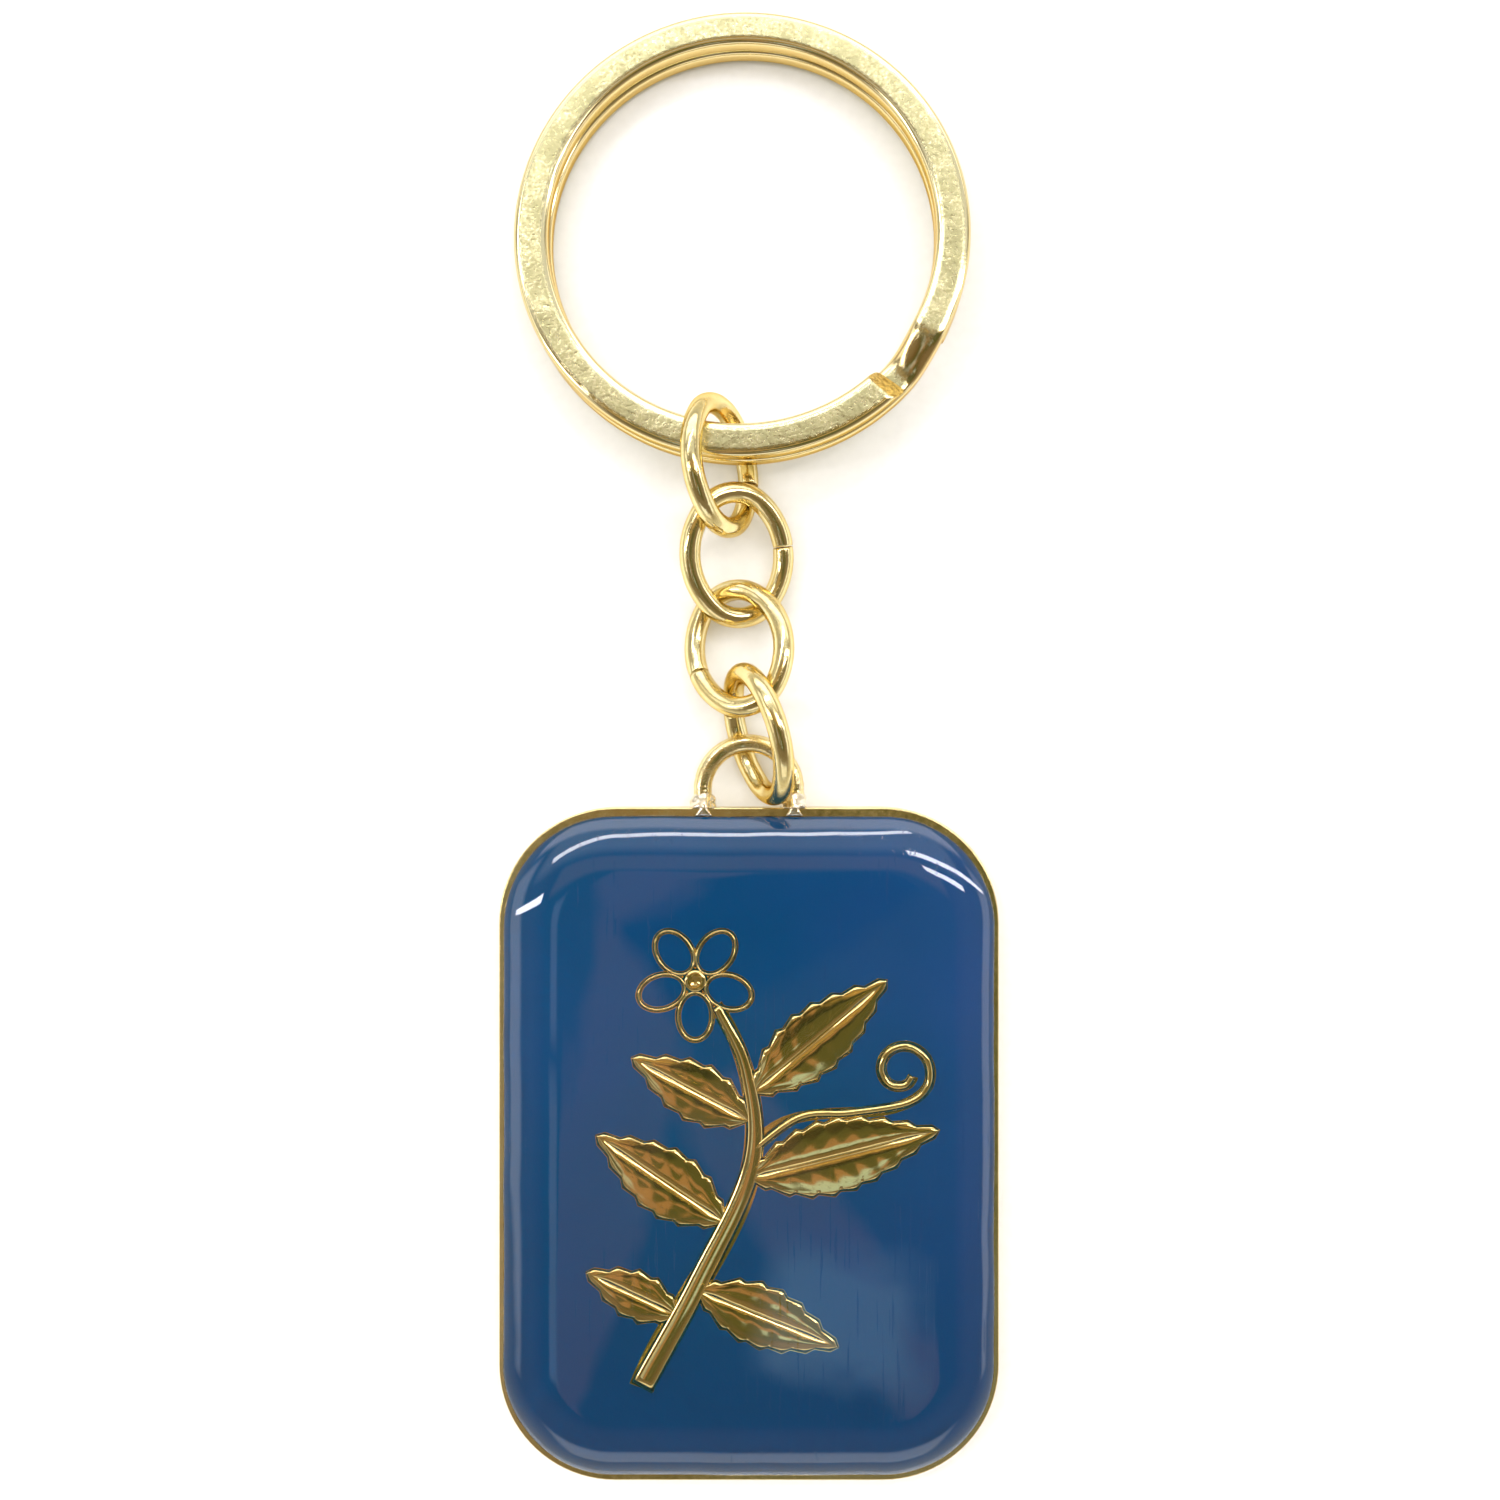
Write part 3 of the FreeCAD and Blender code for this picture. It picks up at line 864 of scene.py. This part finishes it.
TENDRIL_RADIUS = 2.2
TENDRIL_TURNS = 1.15
TENDRIL_FIRST_ANGLE = -80.0
TENDRIL_SHRINK = 0.62
TENDRIL_STEPS = 9
TENDRIL_WIDTH = 0.75

# How the relief stands on the flat sprig
RELIEF_INSET = 0.04
RELIEF_EDGE = 0.16
RELIEF_RISE = 0.12
LEAF_PILLOW = 0.03
LEAF_CREASE = 0.06
VEIN_DEPTH = 0.0035
VEIN_SLANT = 0.55


def grid_solid(name, rows):
    """Closed solid under a grid of millimetre points (rows of equal length), down to the enamel."""
    count = len(rows[0])
    top = [(x * MM, y * MM, ENAMEL_TOP + z * MM) for row in rows for x, y, z in row]
    under = [(x, y, ENAMEL_TOP - SUNK) for x, y, z in top]
    size = len(top)
    faces = []
    for r in range(len(rows) - 1):
        for c in range(count - 1):
            a = r * count + c
            faces.append((a, a + 1, a + count + 1, a + count))
            faces.append((size + a, size + a + count, size + a + count + 1, size + a + 1))
    edge = list(range(count))
    edge += [r * count + count - 1 for r in range(1, len(rows))]
    edge += [(len(rows) - 1) * count + c for c in range(count - 2, -1, -1)]
    edge += [r * count for r in range(len(rows) - 2, 0, -1)]
    for index, a in enumerate(edge):
        b = edge[(index + 1) % len(edge)]
        faces.append((a, size + a, size + b, b))
    piece = new_object(name, top + under, faces)
    made = bmesh.new()
    made.from_mesh(piece.data)
    bmesh.ops.remove_doubles(made, verts=made.verts, dist=0.001 * MM)
    bmesh.ops.dissolve_degenerate(made, edges=made.edges, dist=0.001 * MM)
    bmesh.ops.recalc_face_normals(made, faces=made.faces)
    made.to_mesh(piece.data)
    made.free()
    return finish_piece(piece, [GOLD_MOTIF], "tag", "gold_motif")


def leaf_relief(number, base, direction_deg, length, width, teeth):
    """Leaf with a sloping toothed edge, two pillowed halves, a crease and faint slanting veins."""
    def half_width(t):
        return width / 2 * math.sin(math.pi * min(max(t, 0.0), 1.0) ** LEAF_FULLNESS)

    places = [0.0]
    reach = [0.0]
    for tooth in range(teeth):
        if tooth:
            places.append(tooth / teeth)
            reach.append(half_width(tooth / teeth))
        tip = (tooth + LEAF_TEETH_LEAN) / teeth
        places.append(tip)
        reach.append(half_width(tip) + LEAF_TOOTH)
    places.append(1.0)
    reach.append(0.0)
    stations = set()
    for first, second in zip(places, places[1:]):
        for k in range(5):
            stations.add(round(first + (second - first) * k / 5, 6))
    stations = sorted(stations | {1.0})
    turn = math.radians(direction_deg)
    cos_turn, sin_turn = math.cos(turn), math.sin(turn)
    shares = [0.0, 0.05, 0.12, 0.22, 0.34, 0.46, 0.58, 0.70, 0.81, 0.91, 1.0]
    rows = []
    for t in stations:
        edge = max(float(np.interp(t, places, reach)) - RELIEF_INSET, 0.0)
        crown = max(edge - RELIEF_EDGE, 0.0)
        body = max(min(half_width(t) - RELIEF_EDGE - RELIEF_INSET, crown), 0.0)
        fullness = min(body / 0.8, 1.0)
        half = []
        for share in shares:
            y = body * share
            pillow = LEAF_PILLOW * math.sin(math.pi * share) * fullness
            crease = LEAF_CREASE * math.exp(-y / 0.16) * fullness
            slant = FULL_TURN * teeth * (t - VEIN_SLANT * y / length)
            vein = VEIN_DEPTH * math.cos(slant) * fullness * share * (1 - share) * 4
            half.append((y, RELIEF_RISE + pillow - crease + vein))
        half.append((crown, RELIEF_RISE))
        half.append(((crown + edge) / 2, RELIEF_RISE * 0.55))
        half.append((edge, 0.0))
        profile = [(-y, z) for y, z in half[:0:-1]] + half
        along = length * t
        row = []
        for y, z in profile:
            x_place = base[0] + along * cos_turn - y * sin_turn
            y_place = base[1] + along * sin_turn + y * cos_turn
            row.append((x_place, y_place, z))
        rows.append(row)
    return grid_solid("leaf_relief_%d" % number, rows)


def smooth_line(points, steps):
    """Dense points along a smooth curve through the given points, with a value carried along."""
    points = [Vector((*p[:2], p[2] if len(p) > 2 else 0.0)) for p in points]
    extended = [points[0] * 2 - points[1]] + points + [points[-1] * 2 - points[-2]]
    dense = []
    for i in range(len(points) - 1):
        p0, p1, p2, p3 = extended[i:i + 4]
        for k in range(steps):
            t = k / steps
            dense.append(0.5 * ((2 * p1) + (p2 - p0) * t + (2 * p0 - 5 * p1 + 4 * p2 - p3) * t ** 2
                                + (3 * p1 - p0 - 3 * p2 + p3) * t ** 3))
    dense.append(points[-1])
    return dense


def band_relief(name, line):
    """Rounded band along a line of (x, y, width) points."""
    rows = []
    for index, point in enumerate(line):
        ahead = line[min(index + 1, len(line) - 1)] - line[max(index - 1, 0)]
        along = Vector((ahead.x, ahead.y)).normalized()
        half = point.z / 2 - RELIEF_INSET
        closing = 0.0 if index in (0, len(line) - 1) else 1.0
        edge = min(RELIEF_EDGE, half * 0.6)
        profile = [(-half, 0.0), (-half + edge / 2, 0.6), (-half + edge, 1.0)]
        for k in range(1, 6):
            share = k / 6
            profile.append(((half - edge) * (2 * share - 1), 1.0 + 0.35 * math.sin(math.pi * share)))
        profile += [(half - edge, 1.0), (half - edge / 2, 0.6), (half, 0.0)]
        rows.append([(point.x - along.y * y, point.y + along.x * y, RELIEF_RISE * rise * closing)
                     for y, rise in profile])
    return grid_solid(name, rows)


def ring_relief(name, centre, turn_deg, long_radius, short_radius, frame_width):
    """Elliptical band with a rounded top."""
    turn = math.radians(turn_deg)
    steps = 72
    slope = [(1.0, -0.05), (1.0, 0.0), (0.72, 0.62), (0.36, 1.0)]
    sides = [(-side, rise) for side, rise in slope] + [(0.0, 1.12)] + slope[::-1]
    rings = []
    for step in range(steps):
        angle = FULL_TURN * step / steps
        out = Vector((math.cos(angle) / long_radius, math.sin(angle) / short_radius)).normalized()
        ring = []
        for side, rise in sides:
            shift = side * (frame_width / 2 - RELIEF_INSET)
            x = long_radius * math.cos(angle) + out.x * shift
            y = short_radius * math.sin(angle) + out.y * shift
            z = RELIEF_RISE * rise if rise > 0 else rise
            ring.append(((centre[0] + x * math.cos(turn) - y * math.sin(turn)) * MM,
                         (centre[1] + x * math.sin(turn) + y * math.cos(turn)) * MM, ENAMEL_TOP + z * MM))
        rings.append(ring)
    piece = tube(name, rings, closed_path=True)
    return finish_piece(piece, [GOLD_MOTIF], "tag", "gold_motif")


def button_relief(name, centre, radius):
    """Low round button with a dimple, as (share of the radius, height) rows."""
    steps = 48
    rows = [(1.0, -0.05), (1.0, 0.0), (0.88, 0.10), (0.66, 0.17), (0.42, 0.17), (0.24, 0.12), (0.08, 0.10)]
    rings = []
    for share, z in rows:
        ring = []
        for k in range(steps):
            angle = FULL_TURN * k / steps
            x = centre[0] + radius * share * math.cos(angle)
            y = centre[1] + radius * share * math.sin(angle)
            ring.append((x * MM, y * MM, ENAMEL_TOP + z * MM))
        rings.append(ring)
    piece = tube(name, rings)
    return finish_piece(piece, [GOLD_MOTIF], "tag", "gold_motif")


def make_motif():
    """Raised sprig on the flat one, so that its edges and leaf halves catch the light."""
    for number, leaf in enumerate(LEAVES, 1):
        leaf_relief(number, *leaf)
    band_relief("stem_relief", smooth_line([(*point, width) for point, width in STEM], 24))
    points = [(*point, TENDRIL_WIDTH) for point in TENDRIL_RUN]
    for step in range(TENDRIL_STEPS):
        share = step / (TENDRIL_STEPS - 1)
        angle = math.radians(TENDRIL_FIRST_ANGLE + share * TENDRIL_TURNS * 360.0)
        radius = TENDRIL_RADIUS * (1.0 - TENDRIL_SHRINK * share)
        x = TENDRIL_CENTRE[0] + radius * math.cos(angle)
        y = TENDRIL_CENTRE[1] + radius * math.sin(angle)
        points.append((x, y, TENDRIL_WIDTH))
    band_relief("tendril_relief", smooth_line(points, 14))
    for petal in range(BLOSSOM_PETALS):
        turn = BLOSSOM_TURN + petal * 360.0 / BLOSSOM_PETALS
        centre = (BLOSSOM_CENTRE[0] + BLOSSOM_REACH * math.cos(math.radians(turn)),
                  BLOSSOM_CENTRE[1] + BLOSSOM_REACH * math.sin(math.radians(turn)))
        ring_relief("petal_relief_%d" % (petal + 1), centre, turn, (PETAL_LENGTH - PETAL_FRAME) / 2,
                    (PETAL_WIDTH - PETAL_FRAME) / 2, PETAL_FRAME)
    button_relief("blossom_eye", BLOSSOM_CENTRE, BLOSSOM_EYE - RELIEF_INSET)


make_motif()


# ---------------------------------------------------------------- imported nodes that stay

def repaint(node, material):
    """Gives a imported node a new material."""
    packed = frame["nodes"][node]
    if packed.data.materials:
        packed.data.materials[0] = material
    else:
        packed.data.materials.append(material)


repaint("tag_plate", GOLD_PLATE)
repaint("enamel_fill", BLUE_ENAMEL)
repaint("emblem", GOLD_MOTIF)


# ---------------------------------------------------------------- floor, light and camera

FLOOR_HALF = 3.0
FLOOR_LEVEL = -0.02 * MM


def make_floor():
    """White paper just below the part."""
    corners = [(x * FLOOR_HALF, y * FLOOR_HALF, FLOOR_LEVEL) for x, y in ((-1, -1), (1, -1), (1, 1), (-1, 1))]
    floor = new_object("floor", corners, [(0, 1, 2, 3)], smooth=False)
    material, shader = new_material("floor_paper")
    graph = Graph(material.node_tree)
    grain = graph.noise(1400.0, 3.0)
    graph.link(graph.mix(graph.spread(grain, 0.3, 0.7, 0.0, 1.0), (0.93, 0.93, 0.93), (0.90, 0.90, 0.90)),
               shader.inputs["Base Color"])
    shader.inputs["Roughness"].default_value = 0.9
    shader.inputs["Specular IOR Level"].default_value = 0.1
    floor.data.materials.append(material)


# The studio as the object sees it, drawn on a level ceiling: name, centre, turn in degrees, half
# width, half depth, softness and colour. Places and sizes are in units of the ceiling's height,
# +X to the right and +Y away past the split ring. Later cards cover earlier ones.
CARDS = [
    ("back_window", (0.0, 1.85), 0, 1.70, 0.80, 0.15, (2.0, 2.0, 2.0)),
    ("bounce_board", (0.0, 0.66), 0, 0.95, 0.35, 0.08, (0.72, 0.72, 0.70)),
    ("right_window", (2.35, -0.10), 0, 0.75, 0.90, 0.10, (1.30, 1.30, 1.30)),
    ("left_window", (-1.85, 0.00), 0, 0.65, 0.75, 0.10, (1.30, 1.30, 1.30)),
    ("front_window", (0.0, -2.00), 0, 0.95, 0.60, 0.10, (1.20, 1.20, 1.20)),
    ("brown_surround", (0.0, -0.14), 0, 0.60, 0.48, 0.12, (0.17, 0.12, 0.06)),
    ("camera_and_hands", (0.0, -0.18), 0, 0.44, 0.38, 0.05, (0.115, 0.120, 0.045)),
    ("warm_shelf", (0.0, 0.13), 0, 0.42, 0.11, 0.03, (0.50, 0.34, 0.14)),
    ("warm_sleeve", (-0.115, -0.26), 74, 0.26, 0.045, 0.008, (0.42, 0.26, 0.15)),
    ("warm_cuff", (0.06, -0.36), 128, 0.16, 0.035, 0.008, (0.42, 0.26, 0.15)),
    ("lens", (0.02, -0.10), 30, 0.11, 0.050, 0.010, (0.045, 0.05, 0.02)),
    ("side_glow", (-0.255, -0.36), 90, 0.12, 0.055, 0.015, (0.55, 0.60, 0.66)),
    ("side_glow_upper", (-0.245, -0.13), 90, 0.08, 0.045, 0.015, (0.55, 0.60, 0.66)),
    ("far_lamp", (0.075, -0.415), -9, 0.062, 0.050, 0.016, (0.58, 0.78, 0.90)),
    ("top_tube", (-0.12, 0.76), 26, 0.66, 0.060, 0.010, (8.6, 8.6, 8.6)),
    ("side_tube", (1.40, 0.44), 4, 1.15, 0.042, 0.008, (11.0, 11.0, 11.0)),
    ("short_tube", (0.58, 0.19), 3, 0.28, 0.028, 0.006, (11.0, 11.0, 11.0)),
    ("left_tube", (-1.10, 0.02), 3, 0.55, 0.036, 0.008, (13.0, 13.0, 13.0)),
]
HORIZON_LIGHT = (0.84, 0.80, 0.68)
MIDDLE_LIGHT = (0.24, 0.19, 0.12)


def card_mask(graph, ceiling_x, ceiling_y, centre, turn_deg, half_width, half_depth, softness):
    """1 inside a turned rectangle of the ceiling and 0 outside, with soft edges."""
    turn = math.radians(turn_deg)
    from_x = graph.math("SUBTRACT", ceiling_x, centre[0])
    from_y = graph.math("SUBTRACT", ceiling_y, centre[1])
    mask = None
    for x_share, y_share, half in (
        (math.cos(turn), math.sin(turn), half_width),
        (-math.sin(turn), math.cos(turn), half_depth),
    ):
        x_part = graph.math("MULTIPLY", from_x, x_share)
        y_part = graph.math("MULTIPLY", from_y, y_share)
        along = graph.math("ADD", x_part, y_part)
        inside = graph.spread(graph.math("ABSOLUTE", along, 0.0), half - softness, half + softness, 1.0, 0.0)
        mask = inside if mask is None else graph.math("MULTIPLY", mask, inside)
    return mask


def make_world():
    """Soft studio sky painted with cards: bright boards and tubes round a dark place overhead."""
    world = bpy.data.worlds.new("studio")
    bpy.context.scene.world = world
    world.use_nodes = True
    world.node_tree.nodes.clear()
    graph = Graph(world.node_tree)
    ray = graph.node("ShaderNodeTexCoord").outputs["Generated"]
    split = graph.node("ShaderNodeSeparateXYZ")
    graph.link(ray, split.inputs["Vector"])
    height = graph.math("MAXIMUM", split.outputs["Z"], 0.02)
    ceiling_x = graph.math("DIVIDE", split.outputs["X"], height)
    ceiling_y = graph.math("DIVIDE", split.outputs["Y"], height)
    level = graph.spread(split.outputs["Z"], 0.05, 0.55, 0.0, 1.0)
    colour = graph.mix(level, HORIZON_LIGHT, MIDDLE_LIGHT)
    for name, centre, turn_deg, half_width, half_depth, softness, light in CARDS:
        mask = card_mask(graph, ceiling_x, ceiling_y, centre, turn_deg, half_width, half_depth, softness)
        colour = graph.mix(mask, colour, light)
    background = graph.node("ShaderNodeBackground")
    output = graph.node("ShaderNodeOutputWorld")
    graph.link(colour, background.inputs["Color"])
    graph.link(background.outputs["Background"], output.inputs["Surface"])


def softbox(name, place, size, power):
    """Big square lamp that lights the scene but isn't seen in the metal."""
    light = bpy.data.lights.new(name, "AREA")
    light.energy = power
    light.size = size
    lamp = bpy.data.objects.new(name, light)
    bpy.context.scene.collection.objects.link(lamp)
    lamp.location = place
    lamp.rotation_mode = "QUATERNION"
    lamp.rotation_quaternion = (-Vector(place)).to_track_quat("-Z", "Y")
    lamp.visible_glossy = False
    lamp.visible_transmission = False


def make_lights():
    """Overhead light, and a weaker one from the upper left."""
    softbox("overhead_softbox", (0.0, 0.05, 0.60), 0.60, 1.9)
    softbox("left_softbox", (-0.45, 0.20, 0.40), 0.40, 1.0)


def make_camera():
    """Camera that looks straight down."""
    camera = bpy.data.cameras.new("camera")
    camera.sensor_width = CAMERA_SENSOR
    camera.lens = CAMERA_LENS
    camera.clip_start = CAMERA_NEAR
    camera.clip_end = CAMERA_FAR
    eye = bpy.data.objects.new("camera", camera)
    bpy.context.scene.collection.objects.link(eye)
    eye.location = (CAMERA_X, CAMERA_Y, CAMERA_HEIGHT)
    eye.rotation_euler = (0.0, 0.0, 0.0)
    bpy.context.scene.camera = eye


make_floor()
make_world()
make_lights()
make_camera()
bpy.context.scene.view_settings.view_transform = "Standard"
